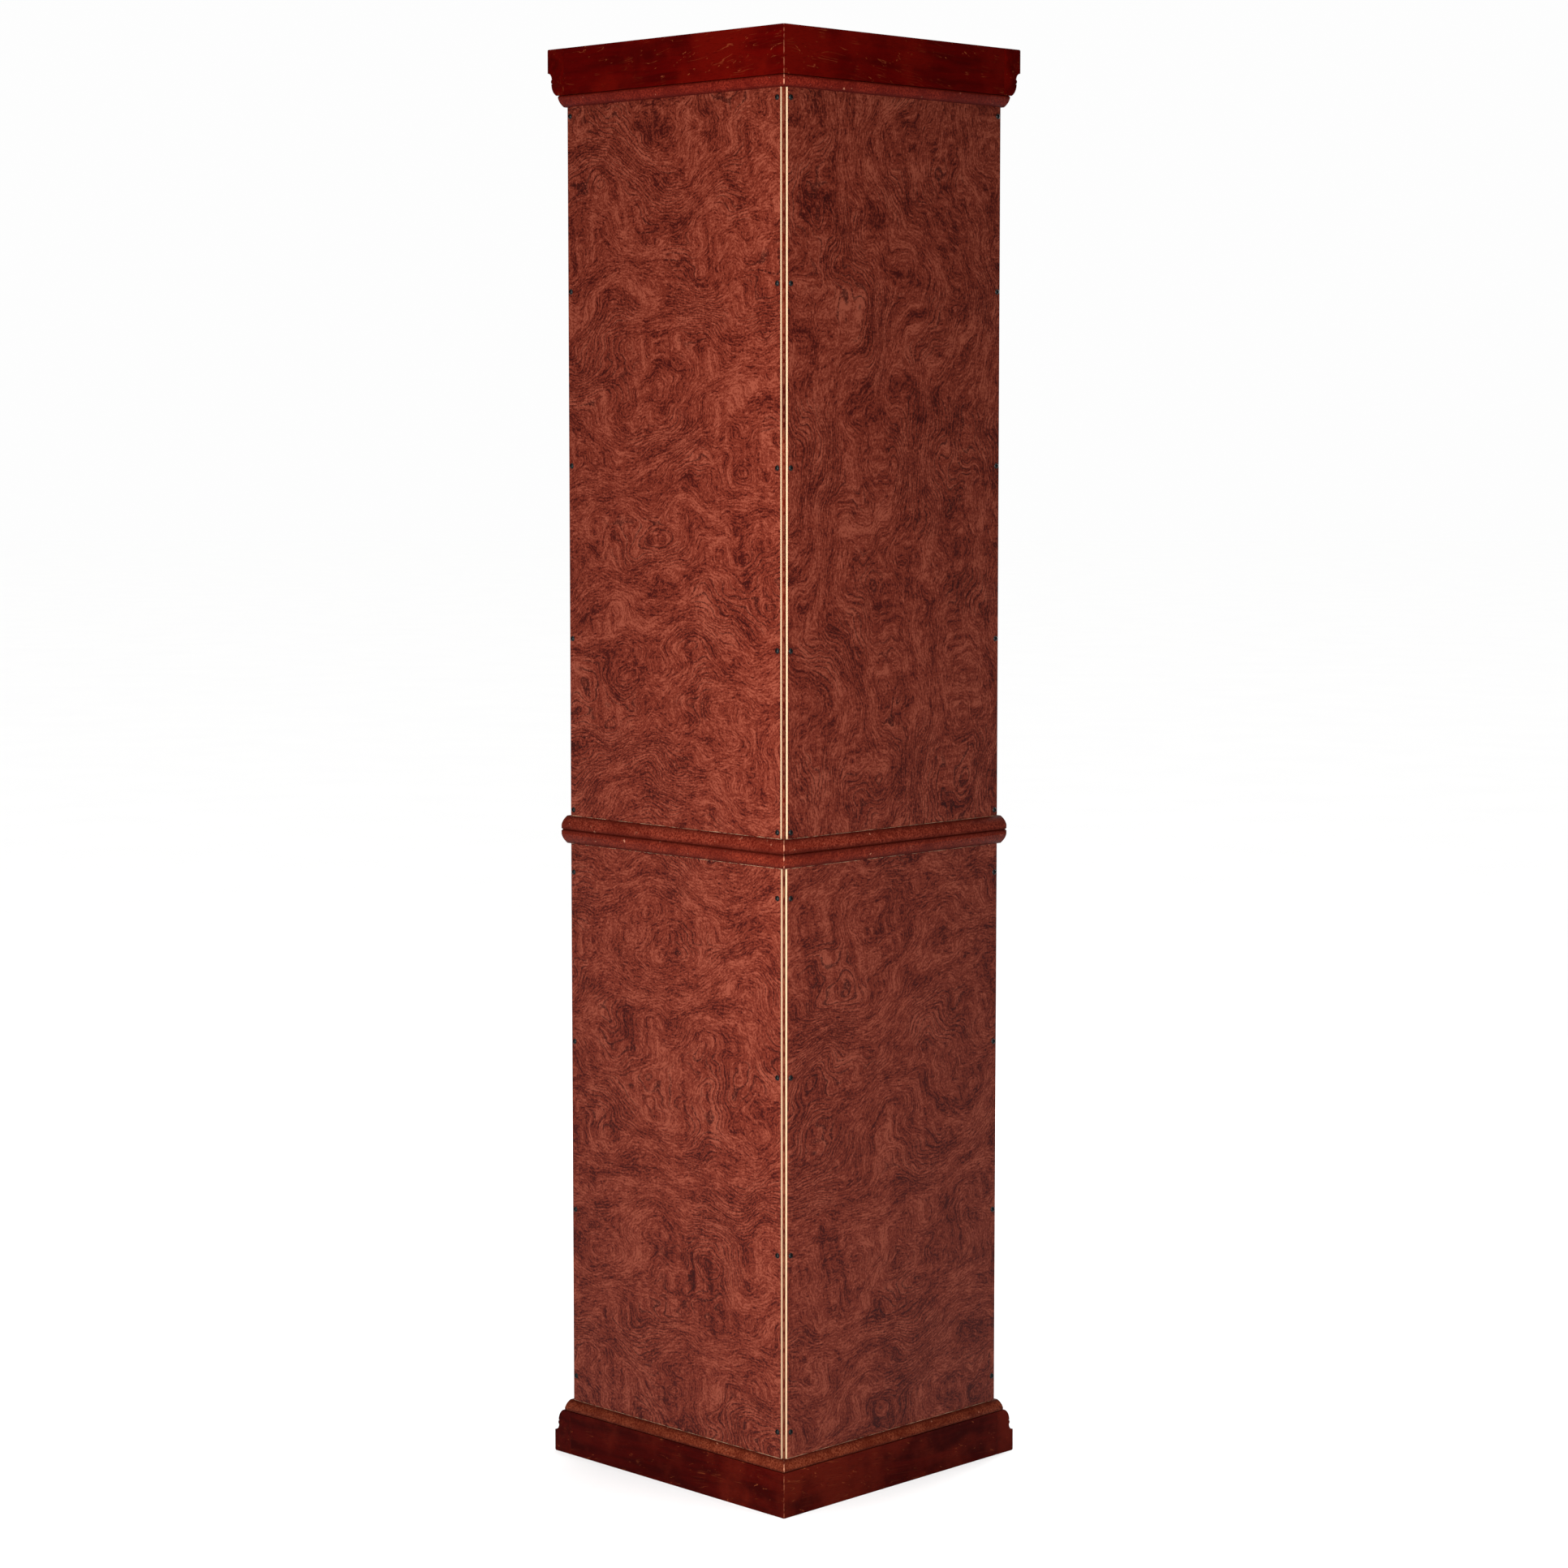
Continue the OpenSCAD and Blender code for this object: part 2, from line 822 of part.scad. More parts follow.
module hinge_frame_leaves() {
    color("#b08d3e") {
        at_hinges(lower_door_z, lower_door_h) hinge_leaf(0, -1);
        at_hinges(upper_door_z, upper_door_h) hinge_leaf(0, -1);
    }
}

module lower_door_hinge_leaves() {
    color("#b08d3e") at_hinges(lower_door_z, lower_door_h) hinge_leaf(1, 1);
}

module upper_door_hinge_leaves() {
    color("#b08d3e") at_hinges(upper_door_z, upper_door_h) hinge_leaf(1, 1);
}

module hinge_pin() {
    cap_r = 2.4;
    cap_h = 1.5;
    translate([0, 0, -cap_h]) cylinder(r = cap_r, h = cap_h);
    cylinder(r = hinge_pin_r, h = hinge_h);
    translate([0, 0, hinge_h]) cylinder(r = cap_r, h = cap_h);
}

module hinge_pins() {
    color("#b08d3e") {
        at_hinges(lower_door_z, lower_door_h) hinge_pin();
        at_hinges(upper_door_z, upper_door_h) hinge_pin();
    }
}

/* Catches */

// A magnet block under a deck; its two steel poles face the strike on the door
module magnetic_catch(deck_under_z) {
    pole_h = 4;
    pole_out = 1;
    catch_y = front_y + door_t + strike_size[1] + catch_air + pole_out;
    translate([catch_x - catch_size[0] / 2, catch_y, deck_under_z - catch_size[2]]) {
        cube(catch_size);
        for (z = [1.5, catch_size[2] - pole_h - 1.5])
            translate([3, -pole_out, z]) cube([catch_size[0] - 6, pole_out + 1, pole_h]);
    }
}

module magnetic_catches() {
    color("#3a2a22") {
        magnetic_catch(lower_top_z);
        magnetic_catch(top_deck_z);
    }
}

module strike(deck_under_z) {
    z = deck_under_z - catch_size[2] / 2 - strike_size[2] / 2;
    translate([catch_x - strike_size[0] / 2, front_y + door_t, z]) cube(strike_size);
}

module upper_door_strike() {
    color("#9a9a9a") strike(top_deck_z);
}

module lower_door_strike() {
    color("#9a9a9a") strike(lower_top_z);
}

/* Assembly */

plinth_back(LEFT);  // plinth_back_left
plinth_back(RIGHT);  // plinth_back_right
plinth_side(LEFT);  // plinth_side_left
plinth_side(RIGHT);  // plinth_side_right
plinth_front();
base_deck();
lower_corner_post();
lower_side_post(LEFT);  // lower_side_post_left
lower_side_post(RIGHT);  // lower_side_post_right
lower_front_post(LEFT);  // lower_front_post_left
lower_front_post(RIGHT);  // lower_front_post_right
lower_back_panel(LEFT);  // lower_back_panel_left
lower_back_panel(RIGHT);  // lower_back_panel_right
lower_side_panel(LEFT);  // lower_side_panel_left
lower_side_panel(RIGHT);  // lower_side_panel_right
lower_shelf();
lower_top_deck();
upper_base_deck();
upper_corner_post();
upper_side_post(LEFT);  // upper_side_post_left
upper_side_post(RIGHT);  // upper_side_post_right
upper_front_post(LEFT);  // upper_front_post_left
upper_front_post(RIGHT);  // upper_front_post_right
upper_back_panel(LEFT);  // upper_back_panel_left
upper_back_panel(RIGHT);  // upper_back_panel_right
upper_side_glass(LEFT);  // upper_side_glass_left
upper_side_glass(RIGHT);  // upper_side_glass_right
glass_shelf(1);  // glass_shelf_low
glass_shelf(2);  // glass_shelf_middle
glass_shelf(3);  // glass_shelf_high
upper_top_deck();
crown_back(LEFT);  // crown_back_left
crown_back(RIGHT);  // crown_back_right
crown_side(LEFT);  // crown_side_left
crown_side(RIGHT);  // crown_side_right
crown_front();
glue_blocks();
back_panel_screws();
shelf_pins();
alignment_dowels();
hinge_frame_leaves();
hinge_pins();
magnetic_catches();
upper_door_hinge_stile();
upper_door_lock_stile();
upper_door_top_rail();
upper_door_bottom_rail();
upper_door_glass();
upper_door_knob();
upper_door_hinge_leaves();
upper_door_strike();
lower_door_hinge_stile();
lower_door_lock_stile();
lower_door_top_rail();
lower_door_bottom_rail();
lower_door_panel();
lower_door_knob();
lower_door_hinge_leaves();
lower_door_strike();
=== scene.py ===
"""Corner display cabinet, seen from behind its right-angled back corner.

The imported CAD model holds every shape. This script gives it real materials, rounds its
arrises, and sets the studio: floor, lights and camera.
"""
import math

import bpy
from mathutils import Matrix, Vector


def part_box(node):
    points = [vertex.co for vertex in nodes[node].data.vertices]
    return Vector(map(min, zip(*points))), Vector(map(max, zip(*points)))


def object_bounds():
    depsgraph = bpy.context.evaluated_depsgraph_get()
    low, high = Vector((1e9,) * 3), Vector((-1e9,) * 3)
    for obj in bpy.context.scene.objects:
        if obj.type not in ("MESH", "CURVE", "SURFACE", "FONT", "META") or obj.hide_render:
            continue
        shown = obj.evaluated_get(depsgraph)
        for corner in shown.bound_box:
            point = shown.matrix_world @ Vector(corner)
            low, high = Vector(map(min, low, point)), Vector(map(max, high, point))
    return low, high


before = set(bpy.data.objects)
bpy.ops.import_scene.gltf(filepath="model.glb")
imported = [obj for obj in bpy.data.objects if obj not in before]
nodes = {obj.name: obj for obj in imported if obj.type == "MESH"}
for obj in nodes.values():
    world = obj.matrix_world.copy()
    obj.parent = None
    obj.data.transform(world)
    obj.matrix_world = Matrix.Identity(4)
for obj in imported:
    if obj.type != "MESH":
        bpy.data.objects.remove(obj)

MM = 0.001


cad_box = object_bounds()
DIAG = math.sqrt(0.5)
RIGHT_WALL = (DIAG, -DIAG, 0.0)    # along the +X back wall, away from the back corner
LEFT_WALL = (-DIAG, -DIAG, 0.0)    # along the -X back wall


# ---------------------------------------------------------------- node graph helper

class Graph:
    """A material's node tree, built from short calls. Values may be numbers or sockets."""

    def __init__(self, name):
        self.material = bpy.data.materials.new(name)
        self.material.use_nodes = True
        self.tree = self.material.node_tree
        self.tree.nodes.clear()
        self.output = self.tree.nodes.new("ShaderNodeOutputMaterial")
        self.shader = self.tree.nodes.new("ShaderNodeBsdfPrincipled")
        self.tree.links.new(self.shader.outputs[0], self.output.inputs["Surface"])
        coords = self.tree.nodes.new("ShaderNodeTexCoord")
        self.position = coords.outputs["Object"]
        self.normal = coords.outputs["Normal"]

    def put(self, socket, value):
        if isinstance(value, bpy.types.NodeSocket):
            self.tree.links.new(value, socket)
        elif socket.type == "RGBA" and len(value) == 3:
            socket.default_value = (*value, 1.0)
        else:
            socket.default_value = value

    def set(self, **inputs):
        """Sets inputs of the main shader; an underscore in a name stands for a space."""
        for name, value in inputs.items():
            self.put(self.shader.inputs[name.replace("_", " ")], value)

    def math(self, operation, a, b=0.0, clamp=False):
        node = self.tree.nodes.new("ShaderNodeMath")
        node.operation = operation
        node.use_clamp = clamp
        self.put(node.inputs[0], a)
        self.put(node.inputs[1], b)
        return node.outputs[0]

    def vector(self, operation, a, b=(0.0, 0.0, 0.0), scale=None):
        node = self.tree.nodes.new("ShaderNodeVectorMath")
        node.operation = operation
        self.put(node.inputs[0], a)
        self.put(node.inputs[1], b)
        if scale is not None:
            self.put(node.inputs["Scale"], scale)
        return node.outputs["Value"] if operation == "DOT_PRODUCT" else node.outputs["Vector"]

    def split(self, vector):
        node = self.tree.nodes.new("ShaderNodeSeparateXYZ")
        self.put(node.inputs[0], vector)
        return node.outputs

    def join(self, x, y, z=0.0):
        node = self.tree.nodes.new("ShaderNodeCombineXYZ")
        for socket, value in zip(node.inputs, (x, y, z)):
            self.put(socket, value)
        return node.outputs[0]

    def turn(self, vector, degrees):
        node = self.tree.nodes.new("ShaderNodeVectorRotate")
        node.rotation_type = "Z_AXIS"
        self.put(node.inputs["Vector"], vector)
        node.inputs["Angle"].default_value = math.radians(degrees)
        return node.outputs[0]

    def noise(self, vector, scale=1.0, detail=2.0, roughness=0.5, colour=False):
        node = self.tree.nodes.new("ShaderNodeTexNoise")
        self.put(node.inputs["Vector"], vector)
        node.inputs["Scale"].default_value = scale
        node.inputs["Detail"].default_value = detail
        node.inputs["Roughness"].default_value = roughness
        return node.outputs["Color" if colour else "Fac"]

    def gabor(self, vector, scale, frequency, heading):
        node = self.tree.nodes.new("ShaderNodeTexGabor")
        self.put(node.inputs["Vector"], vector)
        self.put(node.inputs[4], heading)
        node.inputs["Scale"].default_value = scale
        node.inputs["Frequency"].default_value = frequency
        node.inputs["Anisotropy"].default_value = 1.0
        return node.outputs["Value"]

    def smooth(self, value, low, high):
        """0 below low, 1 above high, and smooth between."""
        node = self.tree.nodes.new("ShaderNodeMapRange")
        node.interpolation_type = "SMOOTHSTEP"
        self.put(node.inputs["Value"], value)
        node.inputs["From Min"].default_value = low
        node.inputs["From Max"].default_value = high
        return node.outputs["Result"]

    def remap(self, value, low, high):
        """Stretches 0..1 to low..high."""
        node = self.tree.nodes.new("ShaderNodeMapRange")
        self.put(node.inputs["Value"], value)
        node.inputs["To Min"].default_value = low
        node.inputs["To Max"].default_value = high
        return node.outputs["Result"]

    def mix(self, factor, a, b, blend="MIX"):
        node = self.tree.nodes.new("ShaderNodeMix")
        node.data_type = "RGBA"
        node.blend_type = blend
        self.put(node.inputs[0], factor)
        self.put(node.inputs[6], a)
        self.put(node.inputs[7], b)
        return node.outputs[2]

    def bump(self, height, strength, distance):
        node = self.tree.nodes.new("ShaderNodeBump")
        node.inputs["Strength"].default_value = strength
        node.inputs["Distance"].default_value = distance
        self.put(node.inputs["Height"], height)
        self.put(self.shader.inputs["Normal"], node.outputs[0])

    def along(self, direction):
        return self.vector("DOT_PRODUCT", self.position, direction)


# ---------------------------------------------------------------- materials

BURL_LIGHT = (0.400, 0.086, 0.047)
BURL_MID = (0.210, 0.0270, 0.0122)
BURL_DARK = (0.066, 0.0036, 0.0017)
BURL_VEIN = (0.034, 0.0020, 0.0014)
RAW_EDGE = (0.440, 0.290, 0.175)


def burl_pattern(graph, flat, turn, shade):
    """Printed burl: the level lines of one swelling surface lead its strokes, veins and clouds.

    flat holds metres along the wall and up it; turn is the way the figure runs, in degrees.
    Returns the colour and a height for the pressed grain.
    """
    step = 0.002
    place = graph.turn(flat, turn)

    def relief(shift):
        moved = graph.vector("ADD", place, shift)
        swell = graph.noise(graph.vector("MULTIPLY", moved, (5.4, 7.6, 1.0)), detail=2.8, roughness=0.40)
        return graph.math("ADD", graph.split(moved)[1], graph.math("MULTIPLY", swell, 0.34))

    def flowing(along, across):
        return graph.join(graph.math("MULTIPLY", graph.split(place)[0], along),
                          graph.math("MULTIPLY", here, across))

    def part(value, weight):
        return graph.math("MULTIPLY", graph.math("SUBTRACT", value, 0.5), weight)

    here = relief((0.0, 0.0, 0.0))
    slope_x = graph.math("SUBTRACT", relief((step, 0.0, 0.0)), here)
    slope_y = graph.math("SUBTRACT", relief((0.0, step, 0.0)), here)
    heading = graph.math("ARCTAN2", slope_y, slope_x)

    strokes = graph.gabor(place, 200.0, 1.25, heading)
    fibres = graph.noise(flowing(90.0, 210.0), detail=3.5, roughness=0.72)
    clouds = graph.noise(flowing(13.0, 30.0), detail=7.0, roughness=0.72)
    mist = graph.noise(flat, scale=34.0, detail=5.0, roughness=0.74)
    crumbs = graph.noise(flat, scale=300.0, detail=2.5, roughness=0.72)
    drift = graph.noise(flat, scale=7.0, detail=2.0)

    line = graph.math("PINGPONG", graph.math("MULTIPLY", here, 135.0), 0.5)
    vein = graph.math("SUBTRACT", 1.0, graph.smooth(line, 0.02, 0.19))
    vein = graph.math("MULTIPLY", vein, graph.smooth(crumbs, 0.36, 0.50))
    vein = graph.math("MULTIPLY", vein, graph.smooth(drift, 0.50, 0.58))

    dark = graph.math("ADD", part(strokes, 1.2), part(fibres, 3.2))
    dark = graph.math("ADD", dark, part(clouds, 3.6))
    dark = graph.math("ADD", dark, part(mist, 2.0))
    dark = graph.math("ADD", dark, part(crumbs, 2.8))
    colour = graph.mix(graph.smooth(dark, -0.95, 0.15), BURL_LIGHT, BURL_MID)
    colour = graph.mix(graph.smooth(dark, 0.02, 0.85), colour, BURL_DARK)
    colour = graph.mix(graph.math("MULTIPLY", vein, 0.75), colour, BURL_VEIN)
    colour = graph.mix(1.0, colour, (shade, shade, shade), blend="MULTIPLY")
    height = graph.math("SUBTRACT", graph.math("MULTIPLY", dark, -0.6), vein)
    return colour, height


def laminate(name, node, wall, turn, offset, shade=0.43, raw_edges=True):
    """Burl-print laminate on the panel node, which stands along wall.

    With raw_edges its cut edges are bare board, and the print is chipped along the panel's foot,
    and on a lower panel along its top too.
    """
    graph = Graph(name)
    low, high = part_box(node)
    height_up = graph.split(graph.position)[2]
    flat = graph.join(graph.along(wall), height_up, 0.0)
    flat = graph.vector("ADD", flat, (*offset, 0.0))
    colour, height = burl_pattern(graph, flat, turn, shade)
    if raw_edges:
        edge = graph.math("ABSOLUTE", graph.vector("DOT_PRODUCT", graph.normal, wall))
        rim = graph.math("ABSOLUTE", graph.split(graph.normal)[2])
        edge = graph.smooth(graph.math("MAXIMUM", edge, rim), 0.30, 0.60)
        fibres = graph.noise(graph.position, scale=900.0, detail=3.0)
        pale = graph.mix(fibres, RAW_EDGE, (0.60, 0.41, 0.25))
        from_foot = graph.math("SUBTRACT", height_up, low[2])
        from_top = graph.math("SUBTRACT", high[2], height_up)
        if node.startswith("upper"):
            from_top = from_foot
        chips = graph.noise(flat, scale=70.0, detail=4.0, roughness=0.7)
        reach = graph.remap(chips, -0.0010, 0.0016)
        near = graph.math("MINIMUM", from_foot, from_top)
        chipped = graph.math("LESS_THAN", near, reach)
        edge = graph.math("MAXIMUM", edge, graph.math("MULTIPLY", chipped, 0.55))
        colour = graph.mix(edge, colour, pale)
    graph.set(Base_Color=colour, Roughness=0.44, Specular_IOR_Level=0.06)
    graph.bump(height, 0.10, 0.0004)
    return graph.material


def mitre_highlight_and_wear(graph):
    """1 along the mitre at the back corner: a painted highlight along the arris, partly rubbed to bare wood.
    """
    x, y, _ = graph.split(graph.position)
    aside = graph.math("ABSOLUTE", x)
    line = graph.math("SUBTRACT", 1.0, graph.smooth(aside, 0.0003, 0.0009))
    behind = graph.math("GREATER_THAN", y, 0.5 * cad_box[1][1])
    # broken up by noise: where the painted arris highlight and the rubbed wear show
    patchy_mask = graph.smooth(graph.noise(graph.position, scale=150.0, detail=3.0), 0.38, 0.60)
    return graph.math("MULTIPLY", graph.math("MULTIPLY", line, behind), patchy_mask)


def stained_wood(name, grain, dark, mid, light, gloss, shine=0.06, flecks=0.0):
    """Stained wood with its grain along the direction grain, and pale flecks and scratches; with flecks, also
    a painted highlight along the back corner's mitre.
    """
    graph = Graph(name)
    x, y, up = graph.split(graph.position)
    if abs(grain[2]) > 0.5:
        flat = graph.join(up, x, y)
    else:
        across = graph.vector("DOT_PRODUCT", graph.position, (-grain[1], grain[0], 0.0))
        flat = graph.join(graph.along(grain), up, across)
    bend = graph.noise(graph.vector("MULTIPLY", flat, (6.0, 18.0, 18.0)), detail=2.0, colour=True)
    bend = graph.vector("SUBTRACT", bend, (0.5, 0.5, 0.5))
    field = graph.vector("ADD", flat, graph.vector("MULTIPLY", bend, (0.02, 0.022, 0.022)))
    bands = graph.noise(graph.vector("MULTIPLY", field, (7.0, 90.0, 90.0)), detail=4.0, roughness=0.6)
    pores = graph.noise(graph.vector("MULTIPLY", field, (110.0, 1300.0, 1300.0)), detail=2.0)
    blotch = graph.noise(flat, scale=11.0, detail=4.0, roughness=0.6)
    colour = graph.mix(graph.smooth(bands, 0.32, 0.68), mid, dark)
    colour = graph.mix(graph.math("MULTIPLY", graph.smooth(blotch, 0.42, 0.66), 0.75), colour, light)
    colour = graph.mix(graph.math("MULTIPLY", graph.smooth(pores, 0.55, 0.72), 0.65), colour, dark)
    if flecks > 0.0:
        chips = graph.noise(graph.vector("MULTIPLY", graph.turn(flat, 24.0), (90.0, 260.0, 200.0)),
                            detail=2.0, roughness=0.7)
        rare = graph.smooth(graph.noise(flat, scale=26.0, detail=1.0), 0.48, 0.60)
        chips = graph.math("MULTIPLY", graph.smooth(chips, 0.65, 0.73), rare)
        lines = graph.noise(graph.vector("MULTIPLY", graph.turn(field, 6.0), (9.0, 150.0, 150.0)),
                            detail=1.0)
        lines = graph.math("ABSOLUTE", graph.math("SUBTRACT", lines, 0.5))
        lines = graph.math("SUBTRACT", 1.0, graph.smooth(lines, 0.002, 0.010))
        broken = graph.smooth(graph.noise(flat, scale=38.0, detail=2.0), 0.52, 0.62)
        lines = graph.math("MULTIPLY", graph.math("MULTIPLY", lines, broken), 0.6)
        marks = graph.math("MULTIPLY", graph.math("MAXIMUM", chips, lines), flecks)
        colour = graph.mix(marks, colour, (0.34, 0.085, 0.028))
        # pale line along the back mitre: painted highlight on the arris, partly rubbed bare wood
        colour = graph.mix(graph.math("MULTIPLY", mitre_highlight_and_wear(graph), 0.35), colour, (0.36, 0.12, 0.06))
    graph.set(Base_Color=colour, Roughness=graph.remap(bands, gloss, gloss + 0.14),
              Specular_IOR_Level=shine)
    graph.bump(pores, 0.10, 0.0003)
    return graph.material


def deck_stain_and_shade(node, low, high):
    """Satin stain on the deck node: speckled and rubbed, with painted shade towards its top and underside and
    a painted highlight along the mitre.
    """
    graph = Graph(node + "_stain")
    floor, ceiling = (corner[2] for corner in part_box(node))
    middle = 0.5 * (floor + ceiling)
    from_middle = graph.math("ABSOLUTE", graph.math("SUBTRACT", graph.split(graph.position)[2], middle))
    # painted shade: darker towards the deck's top and underside, where it meets the panels
    seam_shade = graph.smooth(from_middle, 0.15 * (ceiling - floor), 0.55 * (ceiling - floor))
    speckle = graph.noise(graph.position, scale=420.0, detail=3.0, roughness=0.75)
    cloud = graph.noise(graph.position, scale=34.0, detail=4.0, roughness=0.6)
    colour = graph.mix(graph.smooth(speckle, 0.36, 0.66), low, high)
    colour = graph.mix(graph.math("MULTIPLY", graph.smooth(cloud, 0.40, 0.66), 0.6), colour, low)
    # pale rubbed spots are wear; the pale line along the mitre is a painted highlight on the arris
    rub_and_highlight = graph.smooth(graph.noise(graph.position, scale=160.0, detail=2.0), 0.70, 0.78)
    rub_and_highlight = graph.math("MAXIMUM", graph.math("MULTIPLY", rub_and_highlight, 0.5),
                     graph.math("MULTIPLY", mitre_highlight_and_wear(graph), 0.9))
    colour = graph.mix(rub_and_highlight, colour, (0.52, 0.22, 0.13))
    # darkens the colour with the painted shade towards the top and underside
    colour = graph.mix(graph.math("MULTIPLY", seam_shade, 0.85), colour, tuple(0.5 * c for c in low))
    graph.set(Base_Color=colour, Roughness=0.42, Specular_IOR_Level=0.02)
    graph.bump(speckle, 0.22, 0.0004)
    return graph.material


def metal(name, colour, roughness):
    graph = Graph(name)
    stretched = graph.vector("MULTIPLY", graph.position, (400.0, 400.0, 2200.0))
    lines = graph.noise(stretched, detail=2.0)
    tarnish = graph.smooth(graph.noise(graph.position, scale=160.0, detail=3.0), 0.42, 0.72)
    darker = tuple(c * 0.55 for c in colour)
    graph.set(Base_Color=graph.mix(graph.math("MULTIPLY", tarnish, 0.6), colour, darker),
              Metallic=1.0, Roughness=graph.remap(lines, roughness, roughness + 0.18))
    graph.bump(lines, 0.05, 0.0002)
    return graph.material


def black_lacquer(name):
    """Glossy black screws with small grey worn spots."""
    graph = Graph(name)
    worn = graph.noise(graph.position, scale=1500.0, detail=2.0)
    colour = graph.mix(graph.smooth(worn, 0.60, 0.72), (0.003, 0.003, 0.003), (0.030, 0.028, 0.026))
    graph.set(Base_Color=colour, Roughness=0.28, Specular_IOR_Level=0.12)
    graph.bump(worn, 0.15, 0.0002)
    return graph.material


def clear_glass(name, tint, body):
    """Clear glass with faint dust. body is its alpha, low enough to see the shelves through."""
    graph = Graph(name)
    dust = graph.smooth(graph.noise(graph.position, scale=60.0, detail=5.0, roughness=0.7), 0.50, 0.80)
    graph.set(Base_Color=tint, Roughness=graph.remap(dust, 0.01, 0.09), IOR=1.5,
              Transmission_Weight=1.0, Alpha=body)
    return graph.material


def moulded_plastic(name, colour):
    graph = Graph(name)
    grain = graph.noise(graph.position, scale=1400.0, detail=2.0)
    paler = tuple(min(1.0, c * 1.5 + 0.01) for c in colour)
    graph.set(Base_Color=graph.mix(graph.smooth(grain, 0.40, 0.75), colour, paler), Roughness=0.55)
    graph.bump(grain, 0.12, 0.0002)
    return graph.material


def bare_wood(name):
    graph = Graph(name)
    flat = graph.vector("MULTIPLY", graph.position, (60.0, 60.0, 400.0))
    rings = graph.noise(flat, detail=4.0, roughness=0.6)
    graph.set(Base_Color=graph.mix(rings, (0.62, 0.43, 0.25), (0.42, 0.26, 0.13)), Roughness=0.72)
    graph.bump(rings, 0.2, 0.0004)
    return graph.material


def wear(names, material):
    """Gives each of the named CAD nodes the material."""
    for node in names:
        for index in range(len(nodes[node].data.materials)):
            nodes[node].material_slots[index].link = "OBJECT"
            nodes[node].material_slots[index].material = material


def named(*parts):
    """The CAD nodes whose name holds every one of the given words."""
    return [name for name in nodes if all(part in name for part in parts)]


def dress_frame():
    panels = {
        "upper_back_panel_right": (RIGHT_WALL, 8.0, (0.31, 0.12)),
        "upper_back_panel_left": (LEFT_WALL, 88.0, (0.83, 0.47)),
        "lower_back_panel_right": (RIGHT_WALL, 4.0, (1.37, 0.71)),
        "lower_back_panel_left": (LEFT_WALL, -14.0, (2.15, 1.33)),
        "lower_side_panel_right": (LEFT_WALL, 82.0, (2.9, 1.9)),
        "lower_side_panel_left": (RIGHT_WALL, 82.0, (3.4, 2.2)),
    }
    for node, look in panels.items():
        wear([node], laminate("burl_" + node, node, *look))
    wear(["lower_door_panel"], laminate("burl_door", "lower_door_panel", (1.0, 0.0, 0.0), 86.0,
                                        (4.1, 2.6), raw_edges=False))

    walls = {"_right": RIGHT_WALL, "_left": LEFT_WALL}
    sides = {"_right": LEFT_WALL, "_left": RIGHT_WALL}
    crown = dict(dark=(0.030, 0.0002, 0.0001), mid=(0.054, 0.0004, 0.0002),
                 light=(0.078, 0.0018, 0.0006), gloss=0.30, shine=0.012, flecks=0.32)
    plinth = dict(dark=(0.020, 0.0004, 0.0002), mid=(0.040, 0.0010, 0.0004),
                  light=(0.078, 0.0060, 0.0022), gloss=0.34, shine=0.012, flecks=0.30)
    for part, look in (("crown", crown), ("plinth", plinth)):
        for side in ("_left", "_right"):
            wear([part + "_back" + side], stained_wood(part + "_back_stain" + side, walls[side], **look))
            wear([part + "_side" + side], stained_wood(part + "_side_stain" + side, sides[side], **look))
        wear([part + "_front"], stained_wood(part + "_front_stain", (1.0, 0.0, 0.0), **look))

    wear(["base_deck"], deck_stain_and_shade("base_deck", (0.050, 0.0050, 0.0018), (0.160, 0.0340, 0.0150)))
    wear(["lower_top_deck"], deck_stain_and_shade("lower_top_deck", (0.050, 0.0034, 0.0016), (0.150, 0.0200, 0.0092)))
    wear(["upper_base_deck"], deck_stain_and_shade("upper_base_deck", (0.050, 0.0036, 0.0016), (0.165, 0.0270, 0.0140)))
    wear(["upper_top_deck"], deck_stain_and_shade("upper_top_deck", (0.052, 0.0018, 0.0009), (0.142, 0.0130, 0.0060)))
    frame_look = dict(dark=(0.052, 0.0060, 0.0040), mid=(0.115, 0.0150, 0.0085),
                      light=(0.175, 0.0280, 0.0150), gloss=0.30, shine=0.05)
    upright = stained_wood("upright_stain", (0.0, 0.0, 1.0), **frame_look)
    level = stained_wood("level_stain", (1.0, 0.0, 0.0), **frame_look)
    # the corner posts get the mitre's painted highlight along their arris at the back corner
    corner = stained_wood("corner_stain", (0.0, 0.0, 1.0), (0.030, 0.0008, 0.0003), (0.064, 0.0032, 0.0008),
                          (0.095, 0.0085, 0.0030), gloss=0.30, shine=0.04, flecks=0.35)
    wear(named("_post"), upright)
    wear(named("_corner_post"), corner)
    wear(named("_stile"), upright)
    wear(named("_rail"), level)
    wear(["lower_shelf"], level)

    wear(["upper_side_glass_left", "upper_side_glass_right", "upper_door_glass"],
         clear_glass("window_glass", (0.96, 0.99, 0.98), 0.30))
    wear(named("glass_shelf"), clear_glass("shelf_glass", (0.74, 0.92, 0.85), 0.75))
    wear(["back_panel_screws"], black_lacquer("screw_black"))
    brass = metal("antique_brass", (0.62, 0.42, 0.17), 0.26)
    wear(named("knob") + named("hinge_leaves") + ["hinge_frame_leaves", "hinge_pins"], brass)
    wear(["shelf_pins"], metal("pin_brass", (0.80, 0.58, 0.25), 0.18))
    wear(named("strike"), metal("zinc_plate", (0.62, 0.62, 0.60), 0.30))
    wear(["magnetic_catches"], moulded_plastic("catch_brown", (0.085, 0.040, 0.026)))
    wear(["glue_blocks", "alignment_dowels"], bare_wood("bare_pine"))


# ---------------------------------------------------------------- arrises

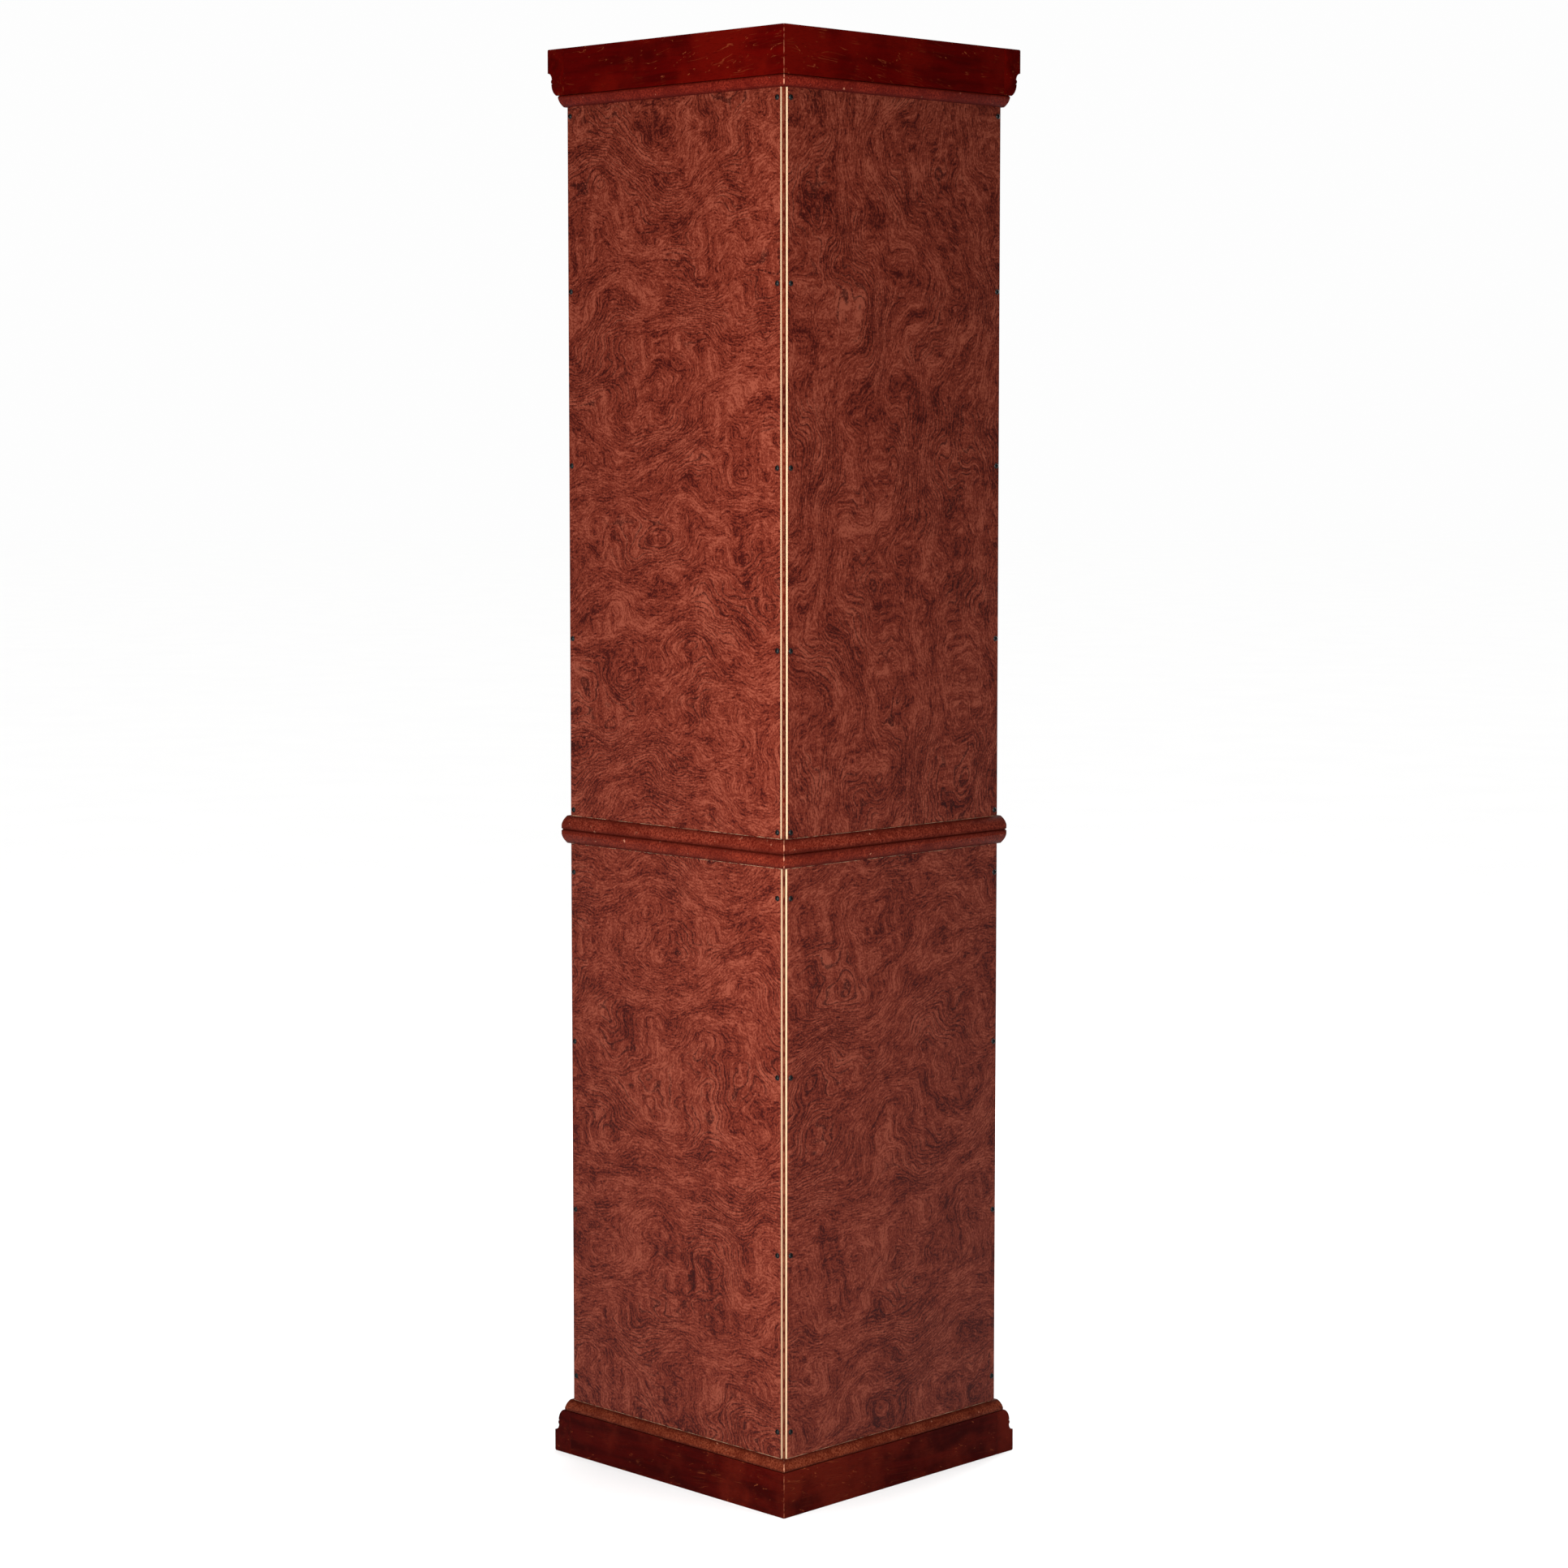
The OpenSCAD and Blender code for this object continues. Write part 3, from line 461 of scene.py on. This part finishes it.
def ease_arrises(names, width):
    """Rounds the sharp edges of CAD nodes a little, with modifiers only."""
    for name in names:
        obj = nodes[name]
        weld = obj.modifiers.new("weld", "WELD")
        weld.merge_threshold = 0.00001
        bevel = obj.modifiers.new("bevel", "BEVEL")
        bevel.width = width
        bevel.segments = 2
        bevel.limit_method = "ANGLE"
        bevel.angle_limit = math.radians(32)
        bevel.harden_normals = False


# ---------------------------------------------------------------- studio

def area_light(name, place, aim, size, power, spread=180.0):
    data = bpy.data.lights.new(name, "AREA")
    data.shape = "RECTANGLE"
    data.size, data.size_y = size
    data.energy = power
    data.spread = math.radians(spread)
    light = bpy.data.objects.new(name, data)
    bpy.context.scene.collection.objects.link(light)
    light.location = place
    light.rotation_mode = "QUATERNION"
    light.rotation_quaternion = (Vector(aim) - Vector(place)).to_track_quat("-Z", "Y")


def studio_floor():
    """A wide pale floor with a faint mottle."""
    half = 40.0
    mesh = bpy.data.meshes.new("floor")
    mesh.from_pydata([(-half, -half, 0), (half, -half, 0), (half, half, 0), (-half, half, 0)],
                     [], [(0, 1, 2, 3)])
    floor = bpy.data.objects.new("floor", mesh)
    bpy.context.scene.collection.objects.link(floor)
    graph = Graph("floor_paint")
    mottle = graph.noise(graph.position, scale=3.0, detail=4.0)
    graph.set(Base_Color=graph.mix(mottle, (0.93, 0.93, 0.93), (0.96, 0.96, 0.955)), Roughness=0.8)
    mesh.materials.append(graph.material)


def studio_world():
    """White to the camera, and a dimmer white for the light that falls on the object."""
    world = bpy.data.worlds.new("studio")
    world.use_nodes = True
    tree = world.node_tree
    tree.nodes.clear()
    output = tree.nodes.new("ShaderNodeOutputWorld")
    seen = tree.nodes.new("ShaderNodeBackground")
    ambient = tree.nodes.new("ShaderNodeBackground")
    seen.inputs["Strength"].default_value = 0.985
    ambient.inputs["Strength"].default_value = 0.12
    for background in (seen, ambient):
        background.inputs["Color"].default_value = (1.0, 1.0, 1.0, 1.0)
    path = tree.nodes.new("ShaderNodeLightPath")
    mix = tree.nodes.new("ShaderNodeMixShader")
    tree.links.new(path.outputs["Is Camera Ray"], mix.inputs[0])
    tree.links.new(ambient.outputs[0], mix.inputs[1])
    tree.links.new(seen.outputs[0], mix.inputs[2])
    tree.links.new(mix.outputs[0], output.inputs["Surface"])
    bpy.context.scene.world = world


def studio_camera():
    """Camera behind the back corner, looking slightly down."""
    corner_to_lens = 4.324
    eye_height = 1.3417
    look_down = math.radians(4.881)
    data = bpy.data.cameras.new("camera")
    data.sensor_width = 36.0
    data.lens = 81.95
    data.shift_y = -0.03
    data.clip_end = 100.0
    camera = bpy.data.objects.new("camera", data)
    bpy.context.scene.collection.objects.link(camera)
    camera.location = (0.0, cad_box[1][1] + corner_to_lens, eye_height)
    camera.rotation_euler = (math.radians(90.0) - look_down, 0.0, math.radians(180.0))
    bpy.context.scene.camera = camera


def overhead_sun(power):
    """Broad light from straight above, so that the floor is evenly white out to the horizon."""
    data = bpy.data.lights.new("overhead", "SUN")
    data.energy = power
    data.angle = math.radians(50.0)
    light = bpy.data.objects.new("overhead", data)
    bpy.context.scene.collection.objects.link(light)


def studio():
    studio_floor()
    studio_world()
    studio_camera()
    overhead_sun(3.1)
    area_light("key", (0.85, 1.60, 1.05), (0.05, 0.10, 1.00), (0.7, 2.0), 11.0, spread=90.0)
    area_light("centre", (0.05, 0.90, 1.00), (0.0, 0.20, 1.00), (0.25, 2.0), 7.5, spread=120.0)
    area_light("front", (-1.3, -2.6, 2.1), (0.0, -0.2, 0.95), (1.6, 2.0), 60.0)
    view = bpy.context.scene.view_settings
    view.view_transform = "Standard"
    view.look = "None"


dress_frame()
ease_arrises(named("crown_") + named("plinth_") + named("_deck"), 0.7 * MM)
ease_arrises(named("_post") + named("_stile") + named("_rail") + ["lower_shelf"], 0.6 * MM)
studio()
